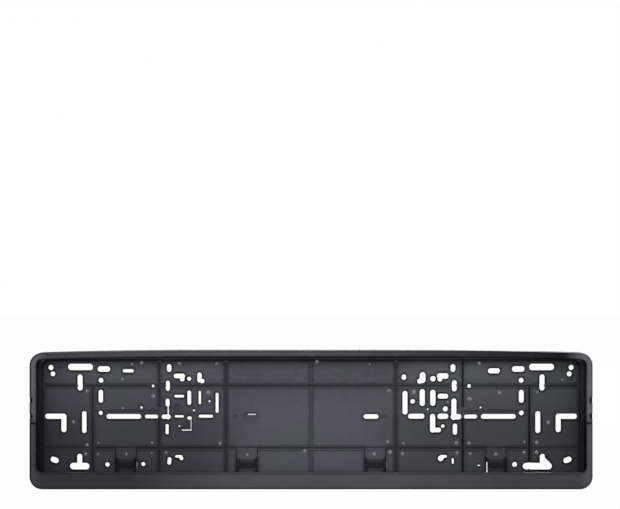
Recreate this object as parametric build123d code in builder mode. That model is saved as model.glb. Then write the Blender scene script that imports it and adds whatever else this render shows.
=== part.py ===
from build123d import *
import os
from math import cos, radians, tan

os.makedirs("parts", exist_ok=True)

# Holder for a long number plate. X runs to the right, the front faces -Y and +Z is up.
# The origin is the centre of the back plane, and a "level" is a distance in front of it.

# The plate that the holder takes
plate_width = 520.0
plate_height = 112.0
plate_room = 4.8             # from the floor to the lip, for the plate and its embossing

# Rim around the plate
wall = 1.8
lip_thickness = 1.8
plate_clearance = 3.2        # from the plate's edge to the wall, top and sides
lip_overlap = 1.5            # of the lip over the plate, top and sides
strip_overlap = 2.0          # of the bottom strip over the plate
strip_below_plate = 14.0
corner_radius = 12.0
opening_radius = 5.0
arch_start = 90.0            # the top edge is straight up to here, and falls from here outwards
arch_fall = 2.9              # at the holder's ends
outer_round = 1.5            # on the rim's outer front edge
inner_round = 0.8            # on the lip's inner front edge

# Tray
floor_thickness = 1.8
rib_height = 4.0             # from the back plane to the back of the floor
rib_thickness = 2.0
trough_back = 1.2            # level of the low ground that runs round the raised floor
trough_thickness = 1.6
field_inset_side = 7.5       # from the plate's edge to the raised floor
field_inset_top = 6.3
field_inset_bottom = 5.7     # from the tray's lower edge to the raised floor
field_radius = 9.0
field_draft = 40.0
tray_edge = 1.4              # thickness of the low wall along the tray's free edge
edge_rib_inset = 2.6         # from the plate's end to the upright rib that carries it
edge_rib_width = 1.4

# Lines pressed into the floor
line_width = 1.9
inner_line_width = 2.6
line_depth = 1.3
soft_line_depth = 0.6
centre_line_width = 2.6
end_line_inset = 53.8        # from the plate's end
middle_line_x = 143.3
inner_line_x = 80.2
upper_line_drop = 29.1       # below the plate's top edge
lower_line_rise = 24.2       # above the plate's lower edge
soft_line_z = 7.5
line_break = (0.6, 11.4)     # the middle lines stop between these heights

# Hinge of the flap
hinge_behind_face = 4.0
hinge_below_middle = 8.8
knuckle_radius = 6.0
knuckle_gap = 1.2
side_gap = 0.3               # between the tray and the flap's side walls
pin_radius = 1.6
pin_clearance = 0.05
pin_recess = 0.2             # the pin ends this far inside the flap's outer face
ear_plate_gap = 0.9          # between the ear and the plate's edge
ear_lip_gap = 0.3
ear_height = 9.0
block_height = 10.0          # stiffening block in the trough above the hinge
block_inset = 3.5            # from the plate's end, inwards
block_plate_gap = 0.2

# Flap
flap_back = 0.5              # the flap's back edge stays clear of the vehicle
flap_tray_gap = 0.5          # between the tray's lower edge and the flap's bottom wall

# Latches
latch_from_end = 85.2
latch_from_centre = 60.6
window_width = 20.4
tongue_root_width = 19.6
tongue_width = 16.0          # below the bend
tongue_thickness = 1.6
tongue_root = 22.9           # these three are heights above the plate's lower edge
tongue_bend = 13.9
tongue_catch = 4.7
tongue_sink = 2.2            # depth of the hollow in the tongue's lower half
tongue_tip = 1.9             # below the plate's lower edge
latch_window = 3.8           # open height below the tongue's tip
latch_rib = 1.4              # upright rib on each side of the window
ledge_thickness = 1.4        # ledges on the ribs stop the tongue's edges from behind
ledge_reach = 2.6
ledge_short_reach = 1.6      # one ledge is this narrow over its lower part
ledge_short_rise = 10.3      # above the plate's lower edge
hook_gap = 0.4
hook_thickness = 1.6
hook_width = 12.0
hook_level = 2.6             # level that the hook reaches back to
hook_bevel = 0.8

# Short slots in the outer wall above the hinge
side_slot_height = 5.8
side_slot_places = (3.1, 18.4)
side_slot_level = 9.4
side_slot_bite = 0.2         # into the lip, past the wall

# Screw slots
foot_bar_height = 6.4
foot_bar_rise = 7.0          # above the plate's lower edge
sunk_depth = 1.1
middle_start_inset = 260.0   # from the plate's end to where the middle slots are measured from

# Sizes that follow from the ones above
holder_width = plate_width + 2 * (plate_clearance + wall)
holder_height = wall + plate_clearance + plate_height + strip_below_plate
floor_level = rib_height + floor_thickness
lip_level = floor_level + plate_room
holder_depth = lip_level + lip_thickness
trough_level = trough_back + trough_thickness
half_width = holder_width / 2
top_z = holder_height / 2
bottom_z = -holder_height / 2
end_x = plate_width / 2
middle_start_x = end_x - middle_start_inset
plate_top_z = top_z - wall - plate_clearance
plate_bottom_z = plate_top_z - plate_height
opening_half = end_x - lip_overlap
opening_top_z = plate_top_z - lip_overlap
opening_bottom_z = plate_bottom_z + strip_overlap
tray_half = half_width - wall - side_gap
tray_bottom_z = bottom_z + wall + flap_tray_gap
field_half = end_x - field_inset_side
field_top_z = plate_top_z - field_inset_top
field_bottom_z = tray_bottom_z + field_inset_bottom
end_line_x = end_x - end_line_inset
upper_line_z = plate_top_z - upper_line_drop
lower_line_z = plate_bottom_z + lower_line_rise
hinge_level = holder_depth - hinge_behind_face
hinge_z = -hinge_below_middle
seam_z = hinge_z + knuckle_radius + knuckle_gap
ear_nose = lip_level - hinge_level - ear_lip_gap
ear_thickness = plate_clearance - side_gap - ear_plate_gap
latch_places = (latch_from_centre, end_x - latch_from_end)
tongue_tip_z = plate_bottom_z - tongue_tip

# Slots and holes in pairs, each as its distance across, its distance up or down, its turn on the
# right half in degrees, the left one's length and width, and the right one's. A length of 0 is
# a round hole. The left half mirrors the places, and its slots are a little narrower.

# Inwards from the plate's end, down from its top edge
end_top_slots = [
    (14.2, 11.8, 0, 0, 4.9, 0, 4.9),
    (16.0, 17.8, 0, 0, 4.6, 0, 4.8),
    (42.1, 11.3, 0, 23.7, 6.1, 23.7, 6.1),
    (41.7, 25.9, 90, 15.4, 4.9, 15.4, 4.9),
    (64.2, 13.2, 0, 12.1, 5.3, 12.1, 5.3),
    (61.5, 23.9, 0, 0, 4.6, 0, 4.7),
    (61.3, 39.0, 90, 12.3, 4.3, 12.3, 4.8),
    (87.2, 14.9, 0, 10.5, 3.2, 11.4, 4.9),
]
# Inwards from the plate's end, up from the middle
end_middle_slots = [
    (18.7, 2.6, 0, 20.2, 5.0, 20.2, 5.0),
    (26.4, -3.7, 90, 17.6, 5.0, 17.6, 5.0),
    (45.7, -2.9, 90, 20.8, 4.3, 20.8, 4.8),
    (61.2, 5.8, 0, 0, 3.8, 0, 4.5),
    (83.0, 2.5, 0, 33.0, 4.6, 33.0, 4.6),
    (99.8, 10.9, 0, 0, 2.4, 0, 1.9),
]
# Inwards from the plate's end, up from its lower edge
end_bottom_slots = [
    (17.7, 12.9, 20, 8.0, 5.3, 8.0, 5.3),
    (41.4, 11.7, 90, 14.0, 4.9, 14.0, 4.9),
    (67.6, 8.6, 0, 0, 4.2, 0, 4.7),
]
# Outwards from where the middle slots start, down from the plate's top edge
centre_top_slots = [
    (134.1, 12.3, 90, 7.4, 4.3, 7.4, 4.6),
    (135.4, 29.1, 90, 9.8, 3.8, 10.6, 4.6),
    (149.5, 29.2, 0, 0, 2.6, 0, 3.5),
    (124.4, 19.8, 0, 10.8, 4.4, 11.2, 5.4),
    (121.8, 22.8, 0, 0, 4.4, 0, 4.6),
    (115.2, 22.4, 0, 0, 3.8, 0, 5.2),
    (105.4, 21.3, 90, 9.6, 4.2, 10.4, 5.6),
    (102.8, 24.6, 0, 0, 4.2, 0, 5.0),
    (124.6, 38.9, 0, 9.4, 2.6, 10.0, 4.7),
    (115.1, 40.4, 90, 13.8, 3.6, 15.3, 5.1),
    (105.1, 40.2, 90, 12.8, 2.3, 16.0, 5.0),
    (88.8, 45.1, 90, 19.0, 2.8, 22.4, 4.7),
    (96.0, 43.8, 0, 0, 1.8, 0, 4.4),
]
# Outwards from where the middle slots start, up from the middle
centre_middle_slots = [
    (135.0, 9.3, 90, 19.5, 1.2, 20.4, 4.8),
    (136.9, 2.2, 0, 8.8, 4.3, 10.2, 5.3),
    (136.0, -9.6, 90, 9.8, 3.0, 10.6, 4.2),
    (150.8, 2.4, 0, 12.4, 3.6, 12.4, 3.9),
    (124.6, 2.6, 0, 8.6, 2.3, 10.4, 5.1),
    (99.4, 2.7, 0, 13.6, 2.9, 15.6, 4.8),
    (124.5, -6.7, 0, 0, 1.6, 0, 3.4),
]
# Outwards from where the middle slots start, up from the plate's lower edge
centre_bottom_slots = [
    (133.9, 11.9, 95, 7.2, 3.6, 5.6, 2.0),
    (122.6, 14.4, 0, 0, 3.6, 0, 5.5),
    (125.0, 16.2, 0, 7.0, 2.6, 6.8, 2.8),
]
# Slots and holes on one half only, each as X from the same start, Z, length, width and turn
lone_slots = [
    (-158.6, -42.5, 0, 3.8, 0),
    (158.6, -43.8, 2.8, 1.2, 0),
    (221.8, -40.4, 10.5, 4.4, -45),
    (87.7, 39.6, 5.3, 4.3, 90),
    (56.7, 2.4, 14.2, 4.4, 0),
    (-56.0, 4.4, 7.4, 0.7, 0),
    (-110.7, 8.2, 0, 1.9, 0),
    (110.2, 9.3, 0, 1.6, 0),
    (126.9, 9.7, 0, 4.8, 0),
    (-135.6, 15.6, 7.6, 3.8, 90),
    (114.9, -4.0, 17.8, 5.0, 90),
    (117.8, -10.3, 10.2, 4.4, 0),
    (-114.9, 0.9, 4.2, 3.0, 0),
    (-113.4, -5.7, 10.5, 0.5, 90),
    (-117.8, -10.5, 9.0, 0.9, 0),
]
# Places that are only sunk into the floor, in the same form
sunk_slots = [
    (-56.6, 3.0, 13.3, 6.0, 0),
    (-114.9, -4.0, 17.8, 5.0, 90),
    (-117.8, -10.3, 10.2, 4.4, 0),
    (-126.8, 10.7, 0, 5.0, 0),
    (-96.0, 16.7, 0, 5.0, 0),
    (-71.6, 2.3, 0, 2.8, 0),
    (69.4, 2.5, 0, 2.8, 0),
    (-237.1, 48.0, 0, 2.8, 0),
    (237.1, 48.0, 0, 2.8, 0),
]
# Wide bars near the feet: side, outer end and inner end from the plate's end
left, right = -1, 1
foot_bars = [(left, 50.6, 32.2), (right, 60.0, 32.3)]


def panel(half, low, high, radius, mode=Mode.ADD):
    """Rounded rectangle from side to side and from low to high."""
    with Locations((0, (low + high) / 2)):
        RectangleRounded(2 * half, high - low, radius, mode=mode)


def arched_panel(half, low, high, radius):
    """Rounded panel whose top edge falls a little towards both ends."""
    fall = arch_fall * ((half - arch_start) / (half_width - arch_start)) ** 2
    middle = (half + arch_start) / 2
    with BuildLine() as edge:
        Polyline([(-half, high - fall), (-half, low), (half, low), (half, high - fall)])
        ThreePointArc((half, high - fall), (middle, high - fall / 4), (arch_start, high))
        Line((arch_start, high), (-arch_start, high))
        ThreePointArc((-arch_start, high), (-middle, high - fall / 4), (-half, high - fall))
    outline = make_face(edge.edges())
    fillet(outline.vertices().filter_by(lambda corner: abs(corner.X) > middle), radius)


def bar(x_from, x_to, z_low, z_high, mode=Mode.ADD):
    """Plain rectangle between two corners."""
    with Locations(((x_from + x_to) / 2, (z_low + z_high) / 2)):
        Rectangle(abs(x_to - x_from), z_high - z_low, mode=mode)


def slot(x, z, length, width, turn):
    """Round-ended slot, or a round hole where the length is 0."""
    with Locations((x, z)):
        if length:
            SlotOverall(length, width, rotation=turn)
        else:
            Circle(width / 2)


def from_start(x):
    """X of a place on the right or the left half that is measured from the middle slots' start."""
    return x + middle_start_x if x > 0 else x - middle_start_x


def rim_block(back):
    """Outer wall and lip in one, from the back level to the front, with the opening cut."""
    with BuildSketch(Plane.XZ.offset(back)) as outline:
        arched_panel(half_width, bottom_z, top_z, corner_radius)
    extrude(outline.sketch, amount=holder_depth - back)
    with BuildSketch(Plane.XZ.offset(back)) as inside:
        arched_panel(half_width - wall, bottom_z + wall, top_z - wall, corner_radius - wall)
    extrude(inside.sketch, amount=lip_level - back, mode=Mode.SUBTRACT)
    with BuildSketch(Plane.XZ.offset(lip_level)) as opening:
        arched_panel(opening_half, opening_bottom_z, opening_top_z, opening_radius)
    extrude(opening.sketch, amount=lip_thickness, mode=Mode.SUBTRACT)


def round_front(block):
    """Rounds the outer and the inner edge of the front face."""
    front = block.faces().filter_by(Axis.Y).sort_by(Axis.Y)[0]
    fillet(front.outer_wire().edges(), outer_round)
    front = block.faces().filter_by(Axis.Y).sort_by(Axis.Y)[0]
    fillet(front.inner_wires()[0].edges(), inner_round)


def room_for_flap():
    """Clears all below the hinge, and a hollow round each knuckle."""
    with BuildSketch(Plane.YZ) as room:
        bar(-2 * holder_depth, holder_depth, 2 * bottom_z, hinge_z + knuckle_gap)
        with Locations((-hinge_level, hinge_z)):
            Circle(knuckle_radius + knuckle_gap)
    extrude(room.sketch, amount=holder_width, both=True, mode=Mode.SUBTRACT)


def tray_ground():
    """Low ground of the tray: up to the wall above the seam, inside the flap below it."""
    with BuildSketch(Plane.XZ.offset(trough_back)) as lower:
        arched_panel(tray_half, tray_bottom_z, top_z - wall / 2, corner_radius - wall)
    extrude(lower.sketch, amount=trough_thickness)
    with BuildSketch(Plane.XZ.offset(trough_back)) as upper:
        arched_panel(half_width - wall / 2, bottom_z, top_z - wall / 2, corner_radius - wall / 2)
        bar(-half_width, half_width, 2 * bottom_z, seam_z, mode=Mode.SUBTRACT)
    extrude(upper.sketch, amount=trough_thickness)


def tray_edges():
    """Low wall along the tray's free edge, and a rib under each end of the plate."""
    inner_radius = corner_radius - wall - tray_edge
    with BuildSketch(Plane.XZ) as edge:
        panel(tray_half, tray_bottom_z, top_z, corner_radius - wall)
        panel(tray_half - tray_edge, tray_bottom_z + tray_edge, top_z, inner_radius, Mode.SUBTRACT)
        bar(-half_width, half_width, hinge_z + ear_nose, 2 * top_z, mode=Mode.SUBTRACT)
    extrude(edge.sketch, amount=floor_level)
    with BuildSketch(Plane.XZ.offset(trough_back)) as ribs:
        for side in (left, right):
            with Locations((side * (end_x - edge_rib_inset), (field_bottom_z + seam_z) / 2)):
                Rectangle(edge_rib_width, seam_z - field_bottom_z)
    extrude(ribs.sketch, amount=floor_level - trough_back)


def raised_floor():
    """Floor with sloping sides, hollow behind."""
    slope = tan(radians(field_draft))
    foot = (floor_level - trough_back) * slope
    with BuildSketch(Plane.XZ.offset(trough_back)) as field:
        panel(field_half + foot, field_bottom_z - foot, field_top_z + foot, field_radius)
    extrude(field.sketch, amount=floor_level - trough_back, taper=field_draft)
    foot = floor_level * slope - trough_thickness / cos(radians(field_draft))
    with BuildSketch(Plane.XZ) as hollow:
        panel(field_half + foot, field_bottom_z - foot, field_top_z + foot, field_radius)
    extrude(hollow.sketch, amount=rib_height, taper=field_draft, mode=Mode.SUBTRACT)


def upright_lines():
    """Place, lower end, upper end and width of each upright line."""
    lines = []
    for side in (left, right):
        lines.append((side * end_line_x, field_bottom_z, upper_line_z, line_width))
        lines.append((side * middle_line_x, field_bottom_z, line_break[0], line_width))
        lines.append((side * middle_line_x, line_break[1], field_top_z, line_width))
        lines.append((side * inner_line_x, field_bottom_z, field_top_z, inner_line_width))
    return lines


def back_ribs():
    """A rib behind each line, from the floor to the back plane."""
    half_rib = rib_thickness / 2
    with BuildSketch(Plane.XZ) as ribs:
        bar(-half_rib, half_rib, field_bottom_z, field_top_z)
        for x, low, high, width in upright_lines():
            bar(x - width / 2, x + width / 2, low, high)
        for z in (upper_line_z, lower_line_z):
            bar(-field_half, field_half, z - half_rib, z + half_rib)
    extrude(ribs.sketch, amount=rib_height)


def floor_lines():
    """The lines that divide the floor into panels, run out past the floor's edge."""
    half_line = line_width / 2
    with BuildSketch(Plane.XZ.offset(floor_level - line_depth)) as lines:
        for x, low, high, width in upright_lines():
            low -= line_width * (low == field_bottom_z)
            high += line_width * (high == field_top_z)
            bar(x - width / 2, x + width / 2, low, high)
        for reach, z in ((field_half, upper_line_z), (end_line_x, lower_line_z)):
            bar(-reach - half_line, reach + half_line, z - half_line, z + half_line)
    extrude(lines.sketch, amount=line_depth, mode=Mode.SUBTRACT)
    with BuildSketch(Plane.XZ.offset(floor_level - soft_line_depth)) as soft_lines:
        bar(-centre_line_width / 2, centre_line_width / 2, field_bottom_z, field_top_z)
        for side in (left, right):
            inner, middle, outer = side * middle_line_x, side * end_line_x, side * field_half
            bar(inner, middle, soft_line_z - half_line / 2, soft_line_z + half_line / 2)
            bar(middle, outer, lower_line_z - half_line, lower_line_z + half_line)
    extrude(soft_lines.sketch, amount=soft_line_depth, mode=Mode.SUBTRACT)


def latch_centres():
    """X of the four latches."""
    return [side * place for side in (left, right) for place in latch_places]


def section_block(x, width, outline):
    """A block across X, from its section as (level, z) corners."""
    with BuildSketch(Plane.YZ.offset(x)) as section:
        with BuildLine():
            Polyline([(-level, z) for level, z in outline], close=True)
        make_face()
    extrude(section.sketch, amount=width / 2, both=True)


def latch_windows():
    """The open window of each latch, with a rib and a ledge behind each of its sides."""
    low, high = tongue_tip_z - latch_window, plate_bottom_z + tongue_root
    half_window = window_width / 2
    with BuildSketch(Plane.XZ) as windows:
        for x in latch_centres():
            bar(x - half_window, x + half_window, low, high)
    extrude(windows.sketch, amount=lip_level, mode=Mode.SUBTRACT)
    with BuildSketch(Plane.XZ) as ribs:
        for x in latch_centres():
            bar(x - half_window - latch_rib, x + half_window + latch_rib, low, high)
            bar(x - half_window, x + half_window, low, high, mode=Mode.SUBTRACT)
    extrude(ribs.sketch, amount=rib_height)
    half_open = half_window - ledge_reach
    with BuildSketch(Plane.XZ) as ledges:
        for x in latch_centres():
            bar(x - half_window, x + half_window, low, high)
            bar(x - half_open, x + half_open, low, high, mode=Mode.SUBTRACT)
        short_x = latch_places[1] - half_window + ledge_short_reach
        bar(short_x, latch_places[1], low, plate_bottom_z + ledge_short_rise, mode=Mode.SUBTRACT)
    extrude(ledges.sketch, amount=ledge_thickness)


def latch_tongues():
    """A springy tongue in each window, narrower below its bend and free at the lower end."""
    root_z = plate_bottom_z + tongue_root + tongue_thickness
    bend_z = plate_bottom_z + tongue_bend
    catch_z = plate_bottom_z + tongue_catch
    sunk = floor_level - tongue_sink
    back = floor_level - tongue_thickness
    root = [(floor_level, root_z), (floor_level, bend_z), (back, bend_z), (back, root_z)]
    tip = [
        (floor_level, bend_z),
        (sunk, catch_z),
        (floor_level, catch_z),
        (floor_level, tongue_tip_z),
        (back, tongue_tip_z),
        (back, catch_z - tongue_thickness),
        (sunk - tongue_thickness, catch_z - tongue_thickness),
        (sunk - tongue_thickness, catch_z),
        (back, bend_z),
    ]
    for x in latch_centres():
        section_block(x, tongue_root_width, root)
        section_block(x, tongue_width, tip)


def hinge_ears():
    """An ear on each side of the tray, inside the flap's wall, with a pin facing outwards."""
    for side in (left, right):
        with BuildSketch(Plane.YZ.offset(side * (tray_half - ear_thickness))) as ear:
            bar(-hinge_level - ear_nose, 0, hinge_z - ear_height + ear_nose, hinge_z)
            bar(-hinge_level, 0, hinge_z, hinge_z + ear_nose)
            with Locations((-hinge_level, hinge_z)):
                Circle(ear_nose)
        extrude(ear.sketch, amount=side * ear_thickness)
        with BuildSketch(Plane.YZ.offset(side * tray_half)) as pin:
            with Locations((-hinge_level, hinge_z)):
                Circle(pin_radius)
        extrude(pin.sketch, amount=side * (side_gap + wall - pin_recess))


def hinge_blocks():
    """A block in the trough above each hinge, below the plate."""
    with BuildSketch(Plane.XZ.offset(trough_back)) as blocks:
        for side in (left, right):
            inner, outer = side * (end_x - block_inset), side * (half_width - wall / 2)
            bar(inner, outer, seam_z, seam_z + block_height)
    extrude(blocks.sketch, amount=floor_level - block_plate_gap - trough_back)


def side_slots():
    """Short slots in the outer wall above the hinge, open at the front."""
    with BuildSketch(Plane.XZ.offset(side_slot_level)) as slots:
        for side in (left, right):
            for z in side_slot_places:
                bite = wall + side_slot_bite
                with Locations((side * (half_width + wall - bite / 2 - wall / 2), z)):
                    Rectangle(bite + wall, side_slot_height)
    extrude(slots.sketch, amount=holder_depth, mode=Mode.SUBTRACT)


def screw_slots():
    """All the through slots and holes of the floor."""
    groups = [
        (end_top_slots, end_x, -1, plate_top_z, -1),
        (end_middle_slots, end_x, -1, 0, 1),
        (end_bottom_slots, end_x, -1, plate_bottom_z, 1),
        (centre_top_slots, middle_start_x, 1, plate_top_z, -1),
        (centre_middle_slots, middle_start_x, 1, 0, 1),
        (centre_bottom_slots, middle_start_x, 1, plate_bottom_z, 1),
    ]
    with BuildSketch(Plane.XZ) as slots:
        for pairs, x_anchor, x_way, z_anchor, z_way in groups:
            for across, up, turn, left_length, left_width, length, width in pairs:
                x = x_anchor + x_way * across
                z = z_anchor + z_way * up
                slot(-x, z, left_length, left_width, -turn)
                slot(x, z, length, width, turn)
        for x, z, length, width, turn in lone_slots:
            slot(from_start(x), z, length, width, turn)
        for side, outer, inner in foot_bars:
            middle = side * (end_x - (outer + inner) / 2)
            slot(middle, plate_bottom_z + foot_bar_rise, outer - inner, foot_bar_height, 0)
    extrude(slots.sketch, amount=lip_level, mode=Mode.SUBTRACT)


def sunk_places():
    """Slots that are only sunk into the floor: the skin behind them is whole."""
    with BuildSketch(Plane.XZ.offset(floor_level - sunk_depth)) as sunk:
        for x, z, length, width, turn in sunk_slots:
            slot(from_start(x), z, length, width, turn)
    extrude(sunk.sketch, amount=lip_level, mode=Mode.SUBTRACT)


def flap_outline():
    """Keeps only what lies below the hinge, and the rounded knuckles."""
    with BuildSketch(Plane.YZ) as above:
        bar(-2 * holder_depth, holder_depth, hinge_z, 2 * top_z)
        with Locations((-hinge_level, hinge_z)):
            Circle(knuckle_radius, mode=Mode.SUBTRACT)
    extrude(above.sketch, amount=holder_width, both=True, mode=Mode.SUBTRACT)


def pin_holes():
    """The holes that turn on the tray's pins."""
    with BuildSketch(Plane.YZ) as holes:
        with Locations((-hinge_level, hinge_z)):
            Circle(pin_radius + pin_clearance)
    extrude(holes.sketch, amount=holder_width, both=True, mode=Mode.SUBTRACT)


def latch_hooks():
    """A hook behind the strip for each tongue, just under the tongue's tip."""
    top = tongue_tip_z - hook_gap
    low = top - hook_thickness
    outline = [
        (lip_level, top),
        (hook_level + hook_bevel, top),
        (hook_level, top - hook_bevel),
        (hook_level, low),
        (lip_level, low),
    ]
    for x in latch_centres():
        section_block(x, hook_width, outline)


# Base plate: upper rim, tray, hinge pins and latch tongues, moulded in one
with BuildPart() as base_plate:
    rim_block(0)
    round_front(base_plate)
    room_for_flap()
    tray_ground()
    raised_floor()
    tray_edges()
    back_ribs()
    floor_lines()
    latch_windows()
    latch_tongues()
    hinge_blocks()
    hinge_ears()
    side_slots()
    screw_slots()
    sunk_places()
base_plate.part.label = "base_plate"
export_step(base_plate.part, "parts/base_plate.step")

# Retaining flap: bottom strip and its two arms, moulded in one
with BuildPart() as retaining_flap:
    rim_block(flap_back)
    round_front(retaining_flap)
    flap_outline()
    pin_holes()
    latch_hooks()
retaining_flap.part.label = "retaining_flap"
export_step(retaining_flap.part, "parts/retaining_flap.step")
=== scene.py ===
import math

import bpy
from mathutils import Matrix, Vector


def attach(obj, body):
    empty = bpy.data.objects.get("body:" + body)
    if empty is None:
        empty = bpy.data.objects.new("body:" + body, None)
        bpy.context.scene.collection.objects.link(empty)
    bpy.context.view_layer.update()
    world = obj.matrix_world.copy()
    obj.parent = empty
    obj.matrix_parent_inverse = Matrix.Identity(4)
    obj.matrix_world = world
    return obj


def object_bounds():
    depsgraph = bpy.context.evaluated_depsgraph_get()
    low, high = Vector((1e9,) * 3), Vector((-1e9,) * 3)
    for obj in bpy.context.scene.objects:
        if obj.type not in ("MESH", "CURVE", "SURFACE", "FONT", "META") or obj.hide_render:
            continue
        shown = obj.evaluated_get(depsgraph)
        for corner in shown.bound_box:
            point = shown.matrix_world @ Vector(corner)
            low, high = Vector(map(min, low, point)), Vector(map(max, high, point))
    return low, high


# A long number plate holder of near-black moulded plastic, seen from the front over pale ground
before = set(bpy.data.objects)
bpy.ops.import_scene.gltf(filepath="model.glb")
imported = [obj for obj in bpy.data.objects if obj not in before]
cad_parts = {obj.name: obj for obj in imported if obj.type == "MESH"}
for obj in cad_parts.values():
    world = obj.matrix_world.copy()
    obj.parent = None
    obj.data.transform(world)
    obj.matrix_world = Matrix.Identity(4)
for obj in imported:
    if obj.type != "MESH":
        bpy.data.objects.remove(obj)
cad_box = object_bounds()

MM = 0.001
WHITE = (1.0, 1.0, 1.0, 1.0)
# The colour of painted shade, which the plastic goes towards where it is shaded
SHADE_BLACK = (0.0015, 0.0015, 0.002, 1.0)

# Camera, in metres: straight at the holder, from above its middle, as in the photograph
PHOTO_WIDTH = 620
PIXELS_PER_MM = 1.0636        # at the front face
CAMERA_DISTANCE = 1.4         # from the front face
CAMERA_RIGHT = -1.0 * MM
CAMERA_UP = 155.5 * MM
CAMERA_RANGE = (0.01, 50.0)
SENSOR = 36.0                 # width in millimetres

# Light and ground, with places and sizes in metres
WORLD_LEVEL = 0.24
GROUND_SIZE = 8.0
GROUND_DROP = 0.2 * MM        # below the holder
GROUND_COLOUR = (0.9, 0.9, 0.9, 1.0)
GROUND_WHITE = 0.98           # share of plain white that the camera sees
# Lamps, aimed at the origin: name, place, size and power in watts
LAMPS = [
    ("key", (0.1, -1.1, 1.3), (1.2, 0.7), 15),
    ("front", (-0.05, -1.7, 0.2), (0.5, 0.3), 8),
    ("fill", (-0.9, -1.0, 0.5), (0.6, 0.6), 3),
    ("behind", (0.3, 1.5, 0.9), (1.2, 0.7), 18),
]

# From here on, places and sizes are in millimetres. A level is a distance in front of the back
# plane, and a pair of numbers is where a soft change starts and ends. A shade is how light a
# place stays, from 0 to 1, and a facing pair is how far a surface turns that way, from -1 to 1.
HALF_WIDTH = cad_box[1][0] / MM
HALF_HEIGHT = cad_box[1][2] / MM
WALL = 1.8
FLOOR_LEVEL = 5.8
RIM_FROM = (10.0, 10.3)       # levels just behind the rim's lip
RIM_FRONT = (11.2, 11.7)      # levels where the rim's front, paler with painted light, starts
FIELD_SIDES = (251.0, 252.8)  # ends of the raised floor, by distance from the middle
FIELD_TOP = (52.7, 54.5)      # its upper end, by Z
SIDE_WALLS = (HALF_WIDTH - WALL, HALF_WIDTH - WALL / 2)
TOP_WALL = (HALF_HEIGHT - WALL, HALF_HEIGHT - WALL / 2)

# Plastic: its tints by a cloudy noise, on the left and the right of the floor, and on the rim paler
# with painted light
LEFT_TINTS = [
    (0.30, (0.025, 0.024, 0.038, 1.0)),
    (0.50, (0.033, 0.031, 0.046, 1.0)),
    (0.68, (0.027, 0.031, 0.036, 1.0)),
]
RIGHT_TINTS = [
    (0.30, (0.027, 0.027, 0.033, 1.0)),
    (0.50, (0.034, 0.035, 0.039, 1.0)),
    (0.68, (0.028, 0.034, 0.032, 1.0)),
]
LEFT_TO_RIGHT = (50.0, 150.0)
RIM_PAINTED_LIGHT_TINTS = [
    (0.30, (0.073, 0.074, 0.082, 1.0)),
    (0.55, (0.090, 0.090, 0.099, 1.0)),
    (0.75, (0.078, 0.082, 0.085, 1.0)),
]
# Noise patterns, as (repeats per metre, detail, roughness)
CLOUD = (14.0, 3.0, 0.5)
SCUFF = (260.0, 6.0, 0.7)
GRAIN = (3800.0, 2.0, 0.6)
MARK_GLINT_AND_SCUFF = (900.0, 3.0, 0.6)
SCUFF_SPREAD = (0.3, 0.7)
GRAIN_STRENGTH = 0.14
GRAIN_DEPTH = 0.08
TRAY_ROUGHNESS = 0.42
FLAP_ROUGHNESS = 0.46
ROUGHNESS_CHANGE = (-0.06, 0.08)
PLASTIC_IOR = 1.49
# How much sheen there is in full painted light
SHEEN = 0.42
SHEEN_TINT = (0.88, 0.87, 1.0, 1.0)
EDGE_RADIUS = 0.7
SAMPLES = 8                   # rays round a point, for edges and corners

# Painted light and shade along X: how light the plastic is from the left end (0) to the right end (1)
FLOOR_ALONG = [
    (0.0, 0.54), (0.12, 0.88), (0.22, 0.78), (0.42, 0.98), (0.58, 1.0),
    (0.75, 1.0), (0.88, 0.90), (1.0, 0.56),
]
TOP_ALONG = [
    (0.0, 0.84), (0.012, 0.84), (0.03, 0.40), (0.3, 0.54), (0.5, 0.49),
    (0.65, 0.38), (0.8, 0.24), (0.95, 0.08), (0.985, 1.0),
]
STRIP_ALONG = [
    (0.0, 0.62), (0.02, 0.34), (0.18, 0.33), (0.32, 0.55), (0.65, 0.57),
    (0.85, 0.46), (0.98, 0.46), (0.99, 0.70),
]
# How light the floor stays in painted shade behind the lip: towards the sides, by distance from the
# middle, and the top, by Z
SIDE_SHADE = [(240.0, 1.0), (252.0, 0.72), (252.6, 1.0), (254.6, 1.0), (255.4, 0.50), (258.5, 0.40)]
TOP_SHADE = [(46.0, 1.0), (53.6, 0.62), (54.4, 1.0), (56.6, 1.0), (57.8, 0.16), (60.0, 0.12)]
# Painted shade: the floor falls off towards its lower ends and the middle of its top
LOW_ENDS_ACROSS = (30.0, 110.0)
LOW_ENDS_UP = (-15.0, 40.0)
LOW_ENDS_SHADE = 0.72
TOP_MIDDLE_ACROSS = (60.0, 110.0)
TOP_MIDDLE_UP = (0.0, 45.0)
TOP_MIDDLE_SHADE = 0.76
# Painted shade: the whole holder falls off towards its lower left corner, by X + 2 Z
LOW_LEFT_SLOPE = 2.0
LOW_LEFT = (-330.0, -170.0)
LOW_LEFT_SHADE = 0.80

# Painted shade in the lines pressed into the floor, by their depth below it; deeper hollows get none
LINE_DEPTH = (0.1, 1.2)
LINE_SHADE = 0.48
HOLLOW_DEPTH = (1.5, 1.8)
LINES_X = (0.0, 80.2, 143.3, 206.2)
LINES_Z = (-27.3, 7.5, 31.4)
LINE_NEAR = (1.6, 2.6)
# The outer upright lines of the right half get darker painted shade
DARK_LINES_X = (143.3, 206.2)
DARK_LINE_NEAR = (0.4, 1.3)
DARK_LINE_DEPTH = (0.8, 1.1)
DARK_LINE_SHADE = 0.42

# Painted shade at edges and in corners, by how flat and how open the surface is round a point
EDGE_REACH = 4.5
EDGE_FLATNESS = (0.925, 0.993)
CORNER_REACH = 5.0
CORNER_OPENNESS = (0.2, 0.9)
CORNER_SHADE = 0.40
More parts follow.
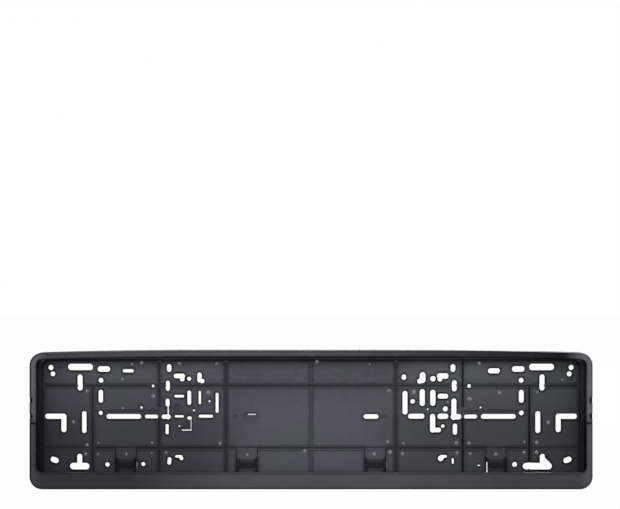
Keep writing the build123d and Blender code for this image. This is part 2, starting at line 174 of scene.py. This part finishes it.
# Painted shade at edges is darkest at the slots, and lighter by the lines and on the latches and the
# rim
SLOT_EDGE_SHADE = 0.06
LINE_EDGE_SHADE = 0.70
SOFT_EDGE_SHADE = 0.40
LATCHES_X = (60.6, 174.8)
LATCH_NEAR = (11.5, 13.0)
LATCH_TOP = (-28.5, -27.5)
# The upper edge of the bottom strip isn't dark: it keeps full light, as a painted highlight
STRIP_EDGE_FACING = (0.1, 0.4)
STRIP_EDGE_UP = (-HALF_HEIGHT / 2, 0.0)
# Painted shade on the edges of the rim that face left, and on those of its upper half that face down
RIM_FACING_LEFT = (-0.20, -0.02)
RIM_FACING_DOWN = (-0.6, -0.2)
RIM_UPPER_HALF = (0.0, 10.0)
RIM_EDGE_SHADE = 0.10
# Painted shade in the short notches in the side walls
NOTCH_ACROSS = (261.8, 262.4)
NOTCH_FACING = (-0.4, -0.1)
NOTCHES_Z = (3.6, 18.4)
NOTCH_NEAR = (1.8, 3.2)
NOTCH_SHADE = 0.10
# Faces that look backwards, which get only the painted shade of corners
BACK_FACING = (0.5, 0.8)

# Places that are only sunk into the floor, as (X, Z, length)
SUNK = [
    (-56.6, 3.0, 13.3),
    (-114.9, -4.0, 17.8),
    (-117.8, -10.3, 10.2),
    (-126.8, 10.7, 5.0),
    (-96.0, 16.7, 5.0),
    (-71.6, 2.3, 2.8),
    (69.4, 2.5, 2.8),
    (-237.1, 48.0, 2.8),
    (237.1, 48.0, 2.8),
]
# How far round the sunk places the painted shade is lifted, and how light it leaves them
SUNK_MARGIN = 0.6
SUNK_FADE = 1.5
SUNK_SHADE = 0.85

# Small round marks that stand on the floor, as (X, Z, radius)
MARKS = [
    (-160.1, 53.2, 1.7), (-169.0, 52.0, 1.2), (-178.2, 37.7, 1.5), (-177.3, 10.3, 1.3),
    (-149.0, 21.6, 1.9), (-224.5, -2.8, 1.5), (-211.5, 26.3, 1.5), (-211.5, -24.3, 1.5),
    (-212.9, -33.0, 1.5), (-200.9, -22.3, 1.1), (-201.1, -33.1, 1.1), (-150.1, -22.3, 1.3),
    (-150.7, -32.2, 1.1), (-136.9, -31.7, 1.5), (-174.3, -33.1, 1.3), (-124.4, 52.8, 1.7),
    (-89.2, 52.4, 1.4), (-96.9, 25.1, 1.9), (-85.9, -22.9, 1.6), (-60.3, -33.9, 1.4),
    (-6.0, -30.2, 1.7), (159.2, 52.8, 1.8), (149.7, 19.0, 2.0), (178.1, 25.1, 1.8),
    (224.1, -3.2, 1.8), (213.9, 25.5, 1.3), (237.5, 37.3, 1.2), (137.4, -22.8, 1.9),
    (137.9, -32.0, 1.8), (149.2, -22.8, 1.7), (150.3, -33.0, 1.5), (174.6, -33.2, 1.8),
    (201.7, -21.7, 1.3), (201.3, -31.5, 1.6), (213.1, -22.1, 1.8), (213.1, -31.5, 1.8),
    (73.6, 26.7, 1.7), (72.4, -21.7, 1.6), (74.8, -31.4, 2.0), (59.7, -33.1, 1.9),
    (87.2, -22.9, 1.4), (86.6, -33.1, 1.7), (55.3, 52.0, 1.2), (97.2, 25.5, 2.2),
    (5.6, 54.4, 1.8), (129.1, 16.0, 1.3),
]
MARK_HEIGHT = 0.55
MARK_SIDES = 14
MARK_RINGS = 3
# The marks' pale tints are a painted highlight, for the light that they catch
MARK_HIGHLIGHT_TINTS = [(0.3, (0.07, 0.07, 0.085, 1.0)), (0.7, (0.16, 0.16, 0.18, 1.0))]
MARK_ROUGHNESS = (0.24, 0.40)
MARK_IOR = 1.5
# Thin upright ridges beside two latches, pale with the marks' painted highlight: X, lower end and upper
# end
RIDGES = [(-164.3, -51.0, -40.5), (71.6, -51.0, -39.5)]
RIDGE_WIDTH = 0.8
RIDGE_HEIGHT = 0.4


def node(tree, kind, **inputs):
    """A shader node with its named inputs set."""
    made = tree.nodes.new(kind)
    for name, value in inputs.items():
        made.inputs[name.replace("_", " ")].default_value = value
    return made


def feed(tree, value, socket):
    """Puts a number or another node's output into a socket."""
    if isinstance(value, (int, float)):
        socket.default_value = value
    else:
        tree.links.new(value, socket)


def maths(tree, operation, first, second):
    """The result of a sum on numbers or outputs."""
    made = tree.nodes.new("ShaderNodeMath")
    made.operation = operation
    feed(tree, first, made.inputs[0])
    feed(tree, second, made.inputs[1])
    return made.outputs["Value"]


def joined(tree, operation, values):
    """All the values brought together by one operation."""
    result = values[0]
    for value in values[1:]:
        result = maths(tree, operation, result, value)
    return result


def product(tree, *values):
    return joined(tree, "MULTIPLY", values)


def largest(tree, *values):
    return joined(tree, "MAXIMUM", values)


def smallest(tree, *values):
    return joined(tree, "MINIMUM", values)


def inverse(tree, value):
    """What is left of 1."""
    return maths(tree, "SUBTRACT", 1.0, value)


def fade(tree, value, span, at_start, at_end, kind="SMOOTHSTEP"):
    """A change from at_start to at_end as the value goes from one end of the span to the other."""
    made = node(tree, "ShaderNodeMapRange", To_Min=at_start, To_Max=at_end)
    made.interpolation_type = kind
    made.inputs["From Min"].default_value = span[0]
    made.inputs["From Max"].default_value = span[1]
    tree.links.new(value, made.inputs["Value"])
    return made.outputs["Result"]


def ramp(tree, source, stops):
    """A colour ramp on a value, with (place, colour) stops."""
    made = tree.nodes.new("ShaderNodeValToRGB")
    elements = made.color_ramp.elements
    while len(elements) < len(stops):
        elements.new(0.5)
    for element, (place, colour) in zip(elements, stops):
        element.position = place
        element.color = colour
    tree.links.new(source, made.inputs["Fac"])
    return made.outputs["Color"]


def grey_ramp(tree, source, stops):
    """A ramp of greys on a value, with (place, grey) stops."""
    return ramp(tree, source, [(place, (grey, grey, grey, 1.0)) for place, grey in stops])


def by_distance(tree, place, stops):
    """A grey that changes along one direction, with (millimetres, grey) stops."""
    first, last = stops[0][0], stops[-1][0]
    share = fade(tree, place, (first, last), 0.0, 1.0, "LINEAR")
    return grey_ramp(tree, share, [((x - first) / (last - first), grey) for x, grey in stops])


def mix_colours(tree, share, first, second):
    """A blend of two colours, with this share of the second."""
    made = tree.nodes.new("ShaderNodeMix")
    made.data_type = "RGBA"
    feed(tree, share, made.inputs["Factor"])
    tree.links.new(first, made.inputs["A"])
    if isinstance(second, tuple):
        made.inputs["B"].default_value = second
    else:
        tree.links.new(second, made.inputs["B"])
    return made.outputs["Result"]


def mix_shaders(tree, share, first, second):
    """A blend of two shaders, with this share of the second."""
    made = tree.nodes.new("ShaderNodeMixShader")
    tree.links.new(share, made.inputs["Fac"])
    tree.links.new(first, made.inputs[1])
    tree.links.new(second, made.inputs[2])
    return made.outputs["Shader"]


def noise(tree, place, pattern):
    scale, detail, roughness = pattern
    made = node(tree, "ShaderNodeTexNoise", Scale=scale, Detail=detail, Roughness=roughness)
    tree.links.new(place, made.inputs["Vector"])
    return made.outputs["Fac"]


def separate(tree, vector):
    """The X, Y and Z outputs of a vector."""
    made = tree.nodes.new("ShaderNodeSeparateXYZ")
    tree.links.new(vector, made.inputs["Vector"])
    return made.outputs


def new_material(name):
    material = bpy.data.materials.new(name)
    material.use_nodes = True
    material.node_tree.nodes.clear()
    return material


def show(tree, shader, kind="ShaderNodeOutputMaterial"):
    """Makes a shader the surface of its material or world."""
    output = tree.nodes.new(kind)
    tree.links.new(shader, output.inputs["Surface"])


class Surface:
    """Outputs for a point of the surface: its place, also in millimetres, and the way it faces."""

    def __init__(self, tree):
        self.metres = tree.nodes.new("ShaderNodeTexCoord").outputs["Object"]
        scaled = tree.nodes.new("ShaderNodeVectorMath")
        scaled.operation = "SCALE"
        scaled.inputs["Scale"].default_value = 1.0 / MM
        tree.links.new(self.metres, scaled.inputs[0])
        self.place = scaled.outputs["Vector"]
        axes = separate(tree, self.place)
        self.side = axes["X"]
        self.across = maths(tree, "ABSOLUTE", axes["X"], 0.0)
        self.level = product(tree, axes["Y"], -1.0)
        self.depth = maths(tree, "SUBTRACT", FLOOR_LEVEL, self.level)
        self.up = axes["Z"]
        self.normal = tree.nodes.new("ShaderNodeNewGeometry").outputs["Normal"]
        self.facing = separate(tree, self.normal)


def rounded_normal(tree, radius):
    """The normal with every sharp edge rounded to this radius."""
    bevel = node(tree, "ShaderNodeBevel", Radius=radius * MM)
    bevel.samples = SAMPLES
    return bevel.outputs["Normal"]


def openness(tree, reach):
    """How open the surface is to its surroundings, within this reach."""
    made = node(tree, "ShaderNodeAmbientOcclusion", Distance=reach * MM)
    made.samples = SAMPLES
    return made.outputs["AO"]


def flatness(tree, normal, reach):
    """How close the normal is to the mean normal of its surroundings, within this reach."""
    dot = tree.nodes.new("ShaderNodeVectorMath")
    dot.operation = "DOT_PRODUCT"
    tree.links.new(rounded_normal(tree, reach), dot.inputs[0])
    tree.links.new(normal, dot.inputs[1])
    return dot.outputs["Value"]


def near(tree, place, spots, span):
    """1 near any of the spots along one direction, and 0 away from them."""
    found = []
    for spot in spots:
        offset = maths(tree, "SUBTRACT", place, spot)
        found.append(fade(tree, maths(tree, "ABSOLUTE", offset, 0.0), span, 1.0, 0.0))
    return largest(tree, *found)


def near_sunk(tree, place):
    """1 on the sunk places, and 0 away from them."""
    found = []
    for x, z, length in SUNK:
        reach = length / 2 + SUNK_MARGIN
        distance = tree.nodes.new("ShaderNodeVectorMath")
        distance.operation = "DISTANCE"
        tree.links.new(place, distance.inputs[0])
        distance.inputs[1].default_value = (x, -FLOOR_LEVEL, z)
        found.append(fade(tree, distance.outputs["Value"], (reach, reach + SUNK_FADE), 1.0, 0.0))
    return largest(tree, *found)


def line_light(tree, at):
    """How light the floor is by its depth: painted shade in the lines, and none in deeper hollows."""
    lines = fade(tree, at.depth, LINE_DEPTH, 1.0, LINE_SHADE)
    hollows = fade(tree, at.depth, HOLLOW_DEPTH, 0.0, 1.0)
    return largest(tree, lines, hollows)


def edge_light(tree, at, on_rim):
    """How light the edges stay under painted shade at the slots, by the lines, on the latches and on
    the rim.
    """
    by_slots = fade(tree, flatness(tree, at.normal, EDGE_REACH), EDGE_FLATNESS, SLOT_EDGE_SHADE, 1.0)
    by_uprights = near(tree, at.across, LINES_X, LINE_NEAR)
    by_lines = largest(tree, by_uprights, near(tree, at.up, LINES_Z, LINE_NEAR))
    on_latches = product(
        tree,
        near(tree, at.across, LATCHES_X, LATCH_NEAR),
        fade(tree, at.up, LATCH_TOP, 1.0, 0.0),
    )
    # A painted highlight on the strip's upper edge
    on_strip_edge = product(
        tree,
        on_rim,
        fade(tree, at.facing["Z"], STRIP_EDGE_FACING, 0.0, 1.0),
        fade(tree, at.up, STRIP_EDGE_UP, 1.0, 0.0),
    )
    return largest(
        tree,
        by_slots,
        product(tree, by_lines, LINE_EDGE_SHADE),
        product(tree, largest(tree, on_rim, on_latches), SOFT_EDGE_SHADE),
        on_strip_edge,
    )


def detail_light(tree, at, on_rim, corners):
    """How light the lines, edges and corners stay in painted shade, with the sunk places nearly as
    light as the floor.
    """
    on_field = product(
        tree,
        fade(tree, at.across, FIELD_SIDES, 1.0, 0.0),
        fade(tree, at.up, FIELD_TOP, 1.0, 0.0),
    )
    light = largest(
        tree,
        smallest(tree, line_light(tree, at), edge_light(tree, at, on_rim), corners),
        product(tree, near_sunk(tree, at.place), SUNK_SHADE),
        inverse(tree, largest(tree, on_field, on_rim)),
    )
    # Darker painted shade in the outer upright lines of the right half
    dark_lines = product(
        tree,
        near(tree, at.side, DARK_LINES_X, DARK_LINE_NEAR),
        fade(tree, at.depth, DARK_LINE_DEPTH, 0.0, 1.0 - DARK_LINE_SHADE),
    )
    return product(tree, light, inverse(tree, dark_lines))


def lip_shade(tree, at, on_rim):
    """How light the floor stays in the painted shade towards the sides and the top, behind the lip."""
    return largest(
        tree,
        product(tree, by_distance(tree, at.across, SIDE_SHADE), by_distance(tree, at.up, TOP_SHADE)),
        on_rim,
        fade(tree, at.across, SIDE_WALLS, 0.0, 1.0),
        fade(tree, at.up, TOP_WALL, 0.0, 1.0),
    )


def rim_edge_darkness(tree, at, on_rim):
    """How dark the painted shade is on the rim's edges that face left or, on its upper half, down."""
    facing_left = fade(tree, at.facing["X"], RIM_FACING_LEFT, 1.0, 0.0)
    facing_down = product(
        tree,
        fade(tree, at.facing["Z"], RIM_FACING_DOWN, 1.0, 0.0),
        fade(tree, at.up, RIM_UPPER_HALF, 0.0, 1.0),
    )
    return product(tree, on_rim, largest(tree, facing_left, facing_down), 1.0 - RIM_EDGE_SHADE)


def notch_darkness(tree, at):
    """How dark the painted shade is in the notches in the side walls."""
    return product(
        tree,
        fade(tree, at.across, NOTCH_ACROSS, 0.0, 1.0),
        fade(tree, at.facing["Y"], NOTCH_FACING, 1.0 - NOTCH_SHADE, 0.0),
        near(tree, at.up, NOTCHES_Z, NOTCH_NEAR),
    )


def painted_form_light(tree, at):
    """The painted light and shade of the plastic by its forms, on the front and on the back."""
    on_rim = fade(tree, at.level, RIM_FROM, 0.0, 1.0)
    # Painted shade in corners, by how open the surface is
    corners = fade(tree, openness(tree, CORNER_REACH), CORNER_OPENNESS, CORNER_SHADE, 1.0)
    front = product(
        tree,
        detail_light(tree, at, on_rim, corners),
        lip_shade(tree, at, on_rim),
        inverse(tree, rim_edge_darkness(tree, at, on_rim)),
        inverse(tree, notch_darkness(tree, at)),
    )
    back = product(tree, fade(tree, at.facing["Y"], BACK_FACING, 0.0, 1.0), corners)
    return largest(tree, front, back)


def painted_floor_fall_off(tree, at):
    """How light the floor stays in painted shade towards its lower ends and the middle of its top."""
    low_ends = product(
        tree,
        fade(tree, at.across, LOW_ENDS_ACROSS, 0.0, 1.0),
        fade(tree, at.up, LOW_ENDS_UP, 1.0 - LOW_ENDS_SHADE, 0.0),
    )
    top_middle = product(
        tree,
        fade(tree, at.across, TOP_MIDDLE_ACROSS, 1.0, 0.0),
        fade(tree, at.up, TOP_MIDDLE_UP, 0.0, 1.0 - TOP_MIDDLE_SHADE),
    )
    return product(tree, inverse(tree, low_ends), inverse(tree, top_middle))


def painted_light_along(tree, at, on_front, rim_along):
    """The painted light and shade from one end to the other, on the floor and on the rim."""
    along = fade(tree, at.side, (-HALF_WIDTH, HALF_WIDTH), 0.0, 1.0, "LINEAR")
    floor_light = product(tree, grey_ramp(tree, along, FLOOR_ALONG), painted_floor_fall_off(tree, at))
    light = mix_colours(tree, on_front, floor_light, grey_ramp(tree, along, rim_along))
    # Painted shade towards the lower left corner
    low_left = maths(tree, "ADD", at.side, product(tree, at.up, LOW_LEFT_SLOPE))
    return product(tree, light, fade(tree, low_left, LOW_LEFT, LOW_LEFT_SHADE, 1.0))


def plastic_tint(tree, at, on_front):
    """The plastic's colour in full light, cloudy, and paler on the rim's front with painted light."""
    cloud = noise(tree, at.metres, CLOUD)
    on_right = fade(tree, at.side, LEFT_TO_RIGHT, 0.0, 1.0)
    floor_tint = mix_colours(
        tree, on_right, ramp(tree, cloud, LEFT_TINTS), ramp(tree, cloud, RIGHT_TINTS)
    )
    return mix_colours(tree, on_front, floor_tint, ramp(tree, cloud, RIM_PAINTED_LIGHT_TINTS))


def moulded_plastic(name, roughness, rim_along):
    """Near-black moulded plastic: fine grain, scuffed gloss, painted shade at edges and a rim paler
    with painted light.
    """
    material = new_material(name)
    tree = material.node_tree
    links = tree.links
    at = Surface(tree)
    # The rim's front, paler with painted light
    on_front = fade(tree, at.level, RIM_FRONT, 0.0, 1.0)
    # Painted light and shade, by the forms and along the holder: it darkens the colour and scales the
    # sheen
    painted_light = product(tree, painted_form_light(tree, at), painted_light_along(tree, at, on_front, rim_along))
    colour = mix_colours(tree, inverse(tree, painted_light), plastic_tint(tree, at, on_front), SHADE_BLACK)
    scuff = noise(tree, at.metres, SCUFF)
    smoothest, roughest = [roughness + change for change in ROUGHNESS_CHANGE]
    bump = node(tree, "ShaderNodeBump", Strength=GRAIN_STRENGTH, Distance=GRAIN_DEPTH * MM)
    links.new(noise(tree, at.metres, GRAIN), bump.inputs["Height"])
    links.new(rounded_normal(tree, EDGE_RADIUS), bump.inputs["Normal"])

    shader = node(tree, "ShaderNodeBsdfPrincipled", IOR=PLASTIC_IOR, Specular_Tint=SHEEN_TINT)
    links.new(colour, shader.inputs["Base Color"])
    links.new(fade(tree, scuff, SCUFF_SPREAD, smoothest, roughest), shader.inputs["Roughness"])
    # The sheen follows the painted light, as a painted fall-off of highlights
    links.new(product(tree, painted_light, SHEEN), shader.inputs["Specular IOR Level"])
    links.new(bump.outputs["Normal"], shader.inputs["Normal"])
    show(tree, shader.outputs["BSDF"])
    return material


def painted_highlight_marks(name):
    """The same plastic, shiny on small raised places, and pale there as a painted highlight."""
    material = new_material(name)
    tree = material.node_tree
    place = tree.nodes.new("ShaderNodeTexCoord").outputs["Object"]
    scuff = noise(tree, place, MARK_GLINT_AND_SCUFF)
    shader = node(tree, "ShaderNodeBsdfPrincipled", IOR=MARK_IOR)
    # The scuff noise sets the roughness and the pale tints of the painted highlight
    tree.links.new(ramp(tree, scuff, MARK_HIGHLIGHT_TINTS), shader.inputs["Base Color"])
    tree.links.new(fade(tree, scuff, SCUFF_SPREAD, *MARK_ROUGHNESS), shader.inputs["Roughness"])
    show(tree, shader.outputs["BSDF"])
    return material


def dress(name, material):
    """Gives a CAD node its material in every slot."""
    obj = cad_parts[name]
    if not obj.data.materials:
        obj.data.materials.append(material)
    for index in range(len(obj.data.materials)):
        obj.data.materials[index] = material


def add_dome(x, z, radius, points, faces):
    """A low round cap on the floor, facing -Y."""
    start = len(points)
    for ring in range(MARK_RINGS):
        angle = ring / MARK_RINGS * math.pi / 2
        reach = radius * math.cos(angle)
        y = -FLOOR_LEVEL - MARK_HEIGHT * math.sin(angle)
        for side in range(MARK_SIDES):
            turn = 2 * math.pi * side / MARK_SIDES
            points.append((x + reach * math.cos(turn), y, z + reach * math.sin(turn)))
    top = len(points)
    points.append((x, -FLOOR_LEVEL - MARK_HEIGHT, z))
    for ring in range(MARK_RINGS):
        for side in range(MARK_SIDES):
            here = start + ring * MARK_SIDES + side
            beside = start + ring * MARK_SIDES + (side + 1) % MARK_SIDES
            if ring < MARK_RINGS - 1:
                faces.append((here, beside, beside + MARK_SIDES, here + MARK_SIDES))
            else:
                faces.append((here, beside, top))


def add_ridge(x, low, high, points, faces):
    """A thin upright bar on the floor, narrower in front, with its back left open."""
    start = len(points)
    for rise, half in ((0.0, RIDGE_WIDTH / 2), (RIDGE_HEIGHT, RIDGE_WIDTH / 4)):
        y = -FLOOR_LEVEL - rise
        points += [(x - half, y, low), (x + half, y, low), (x + half, y, high), (x - half, y, high)]
    back = range(start, start + 4)
    front = range(start + 4, start + 8)
    faces.append(tuple(front))
    for corner in range(4):
        after = (corner + 1) % 4
        faces.append((back[corner], back[after], front[after], front[corner]))


def add_floor_marks(material):
    """All the small marks of the floor in one piece, which goes with the tray."""
    points, faces = [], []
    for x, z, radius in MARKS:
        add_dome(x, z, radius, points, faces)
    for x, low, high in RIDGES:
        add_ridge(x, low, high, points, faces)
    mesh = bpy.data.meshes.new("floor_marks")
    mesh.from_pydata([(x * MM, y * MM, z * MM) for x, y, z in points], [], faces)
    mesh.materials.append(material)
    mesh.shade_smooth()
    marks = bpy.data.objects.new("floor_marks", mesh)
    bpy.context.scene.collection.objects.link(marks)
    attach(marks, "base")


def add_camera():
    """The photograph's view, with its scale at the holder's front face."""
    data = bpy.data.cameras.new("camera")
    data.sensor_fit = "HORIZONTAL"
    data.sensor_width = SENSOR
    seen_width = PHOTO_WIDTH / PIXELS_PER_MM * MM
    data.lens = SENSOR * CAMERA_DISTANCE / seen_width
    data.clip_start, data.clip_end = CAMERA_RANGE
    camera = bpy.data.objects.new("camera", data)
    front = cad_box[0][1]
    camera.location = (CAMERA_RIGHT, front - CAMERA_DISTANCE, CAMERA_UP)
    camera.rotation_euler = (math.radians(90), 0, 0)
    bpy.context.scene.collection.objects.link(camera)
    bpy.context.scene.camera = camera


def add_lamp(name, place, size, power):
    """A rectangular lamp that is aimed at the origin."""
    data = bpy.data.lights.new(name, "AREA")
    data.shape = "RECTANGLE"
    data.size, data.size_y = size
    data.energy = power
    lamp = bpy.data.objects.new(name, data)
    lamp.location = place
    lamp.rotation_euler = (-Vector(place)).to_track_quat("-Z", "Y").to_euler()
    bpy.context.scene.collection.objects.link(lamp)


def add_world():
    """White to the camera and in reflections, and plain soft light for the rest."""
    world = bpy.data.worlds.new("world")
    world.use_nodes = True
    tree = world.node_tree
    tree.nodes.clear()
    path = tree.nodes.new("ShaderNodeLightPath").outputs
    soft = node(tree, "ShaderNodeBackground", Color=WHITE, Strength=WORLD_LEVEL)
    white = node(tree, "ShaderNodeBackground", Color=WHITE, Strength=1.0)
    seen = largest(tree, path["Is Camera Ray"], path["Is Transmission Ray"], path["Is Glossy Ray"])
    mixed = mix_shaders(tree, seen, soft.outputs["Background"], white.outputs["Background"])
    show(tree, mixed, "ShaderNodeOutputWorld")
    bpy.context.scene.world = world


def add_floor():
    """Pale ground under the holder, which shows almost white and keeps a soft shadow."""
    material = new_material("pale_floor")
    tree = material.node_tree
    plain = node(tree, "ShaderNodeBsdfDiffuse", Color=GROUND_COLOUR)
    white = node(tree, "ShaderNodeEmission", Color=WHITE, Strength=1.0)
    path = tree.nodes.new("ShaderNodeLightPath")
    share = product(tree, path.outputs["Is Camera Ray"], GROUND_WHITE)
    show(tree, mix_shaders(tree, share, plain.outputs["BSDF"], white.outputs["Emission"]))

    ground_level = cad_box[0][2] - GROUND_DROP
    bpy.ops.mesh.primitive_plane_add(size=GROUND_SIZE, location=(0, 0, ground_level))
    floor = bpy.context.object
    floor.name = "floor"
    floor.data.materials.append(material)


dress("base_plate", moulded_plastic("tray_plastic_detail", TRAY_ROUGHNESS, TOP_ALONG))
dress("retaining_flap", moulded_plastic("flap_plastic_detail", FLAP_ROUGHNESS, STRIP_ALONG))
add_floor_marks(painted_highlight_marks("tray_plastic_marks"))
add_camera()
add_world()
add_floor()
for lamp in LAMPS:
    add_lamp(*lamp)
bpy.context.scene.view_settings.view_transform = "Standard"
